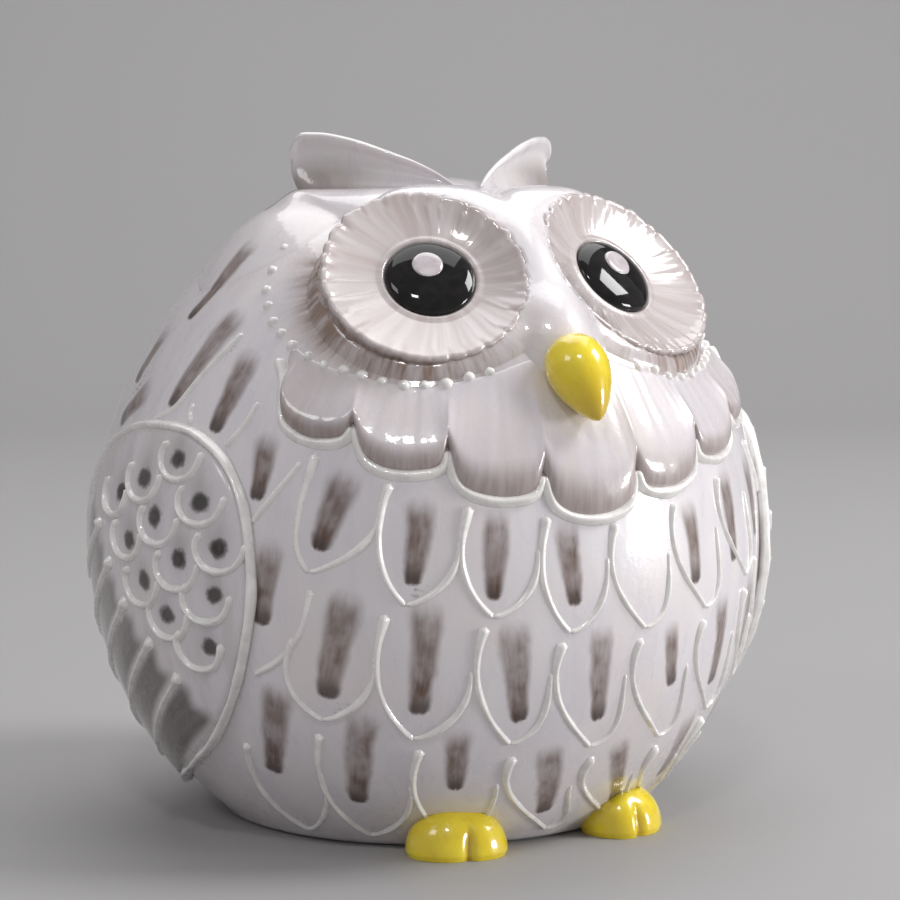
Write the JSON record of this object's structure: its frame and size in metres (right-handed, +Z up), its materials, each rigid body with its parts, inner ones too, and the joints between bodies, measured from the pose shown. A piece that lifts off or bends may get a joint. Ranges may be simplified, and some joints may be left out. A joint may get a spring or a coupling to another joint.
{
  "type": "owl figurine",
  "caption": "Round ceramic owl figurine with raised eye discs, a scalloped ruff, slip-trailed feather lines, folded wings, ear tufts and small feet; stands on a flat base.",
  "frame": {"origin": "middle of the bounding box's footprint, on the plane the base rests on", "axes": "+Z up; the owl faces -Y; +X is the owl's left side"},
  "size_m": [0.1242, 0.1205, 0.1203],
  "materials": {
    "white_glaze": "gloss",
    "tuft_glaze": "gloss",
    "disc_glaze": "gloss",
    "black_glaze": "gloss",
    "glint_glaze": "gloss",
    "yellow_glaze": "gloss",
    "ruff_glaze": "gloss",
    "slip_line": "gloss",
    "wing_glaze": "gloss"
  },
  "bodies": {
    "root": {"body_shell": "white_glaze", "ear_tuft_right": "tuft_glaze", "ear_tuft_left": "tuft_glaze", "eye_disc_right": "disc_glaze", "eye_disc_left": "disc_glaze", "pupil_right": "black_glaze", "pupil_left": "black_glaze", "pupil_glint_right": "glint_glaze", "pupil_glint_left": "glint_glaze", "beak": "yellow_glaze", "beak_mound": "white_glaze", "forehead_ridge": "white_glaze", "brow_pad_right": "white_glaze", "brow_pad_left": "white_glaze", "ruff": "ruff_glaze", "ruff_border_line": "slip_line", "eye_dots_right": "slip_line", "eye_dots_left": "slip_line", "breast_feather_lines_upper": "slip_line", "breast_feather_lines_middle": "slip_line", "breast_feather_lines_lower": "slip_line", "back_feather_lines": "slip_line", "side_feather_lines_right": "slip_line", "side_feather_lines_left": "slip_line", "wing_right": "wing_glaze", "wing_left": "wing_glaze", "wing_border_line_right": "slip_line", "wing_border_line_left": "slip_line", "wing_scale_lines_right": "slip_line", "wing_scale_lines_left": "slip_line", "wing_quill_lines_right": "slip_line", "wing_quill_lines_left": "slip_line", "foot_right": "yellow_glaze", "foot_left": "yellow_glaze"}
  },
  "joints": []
}
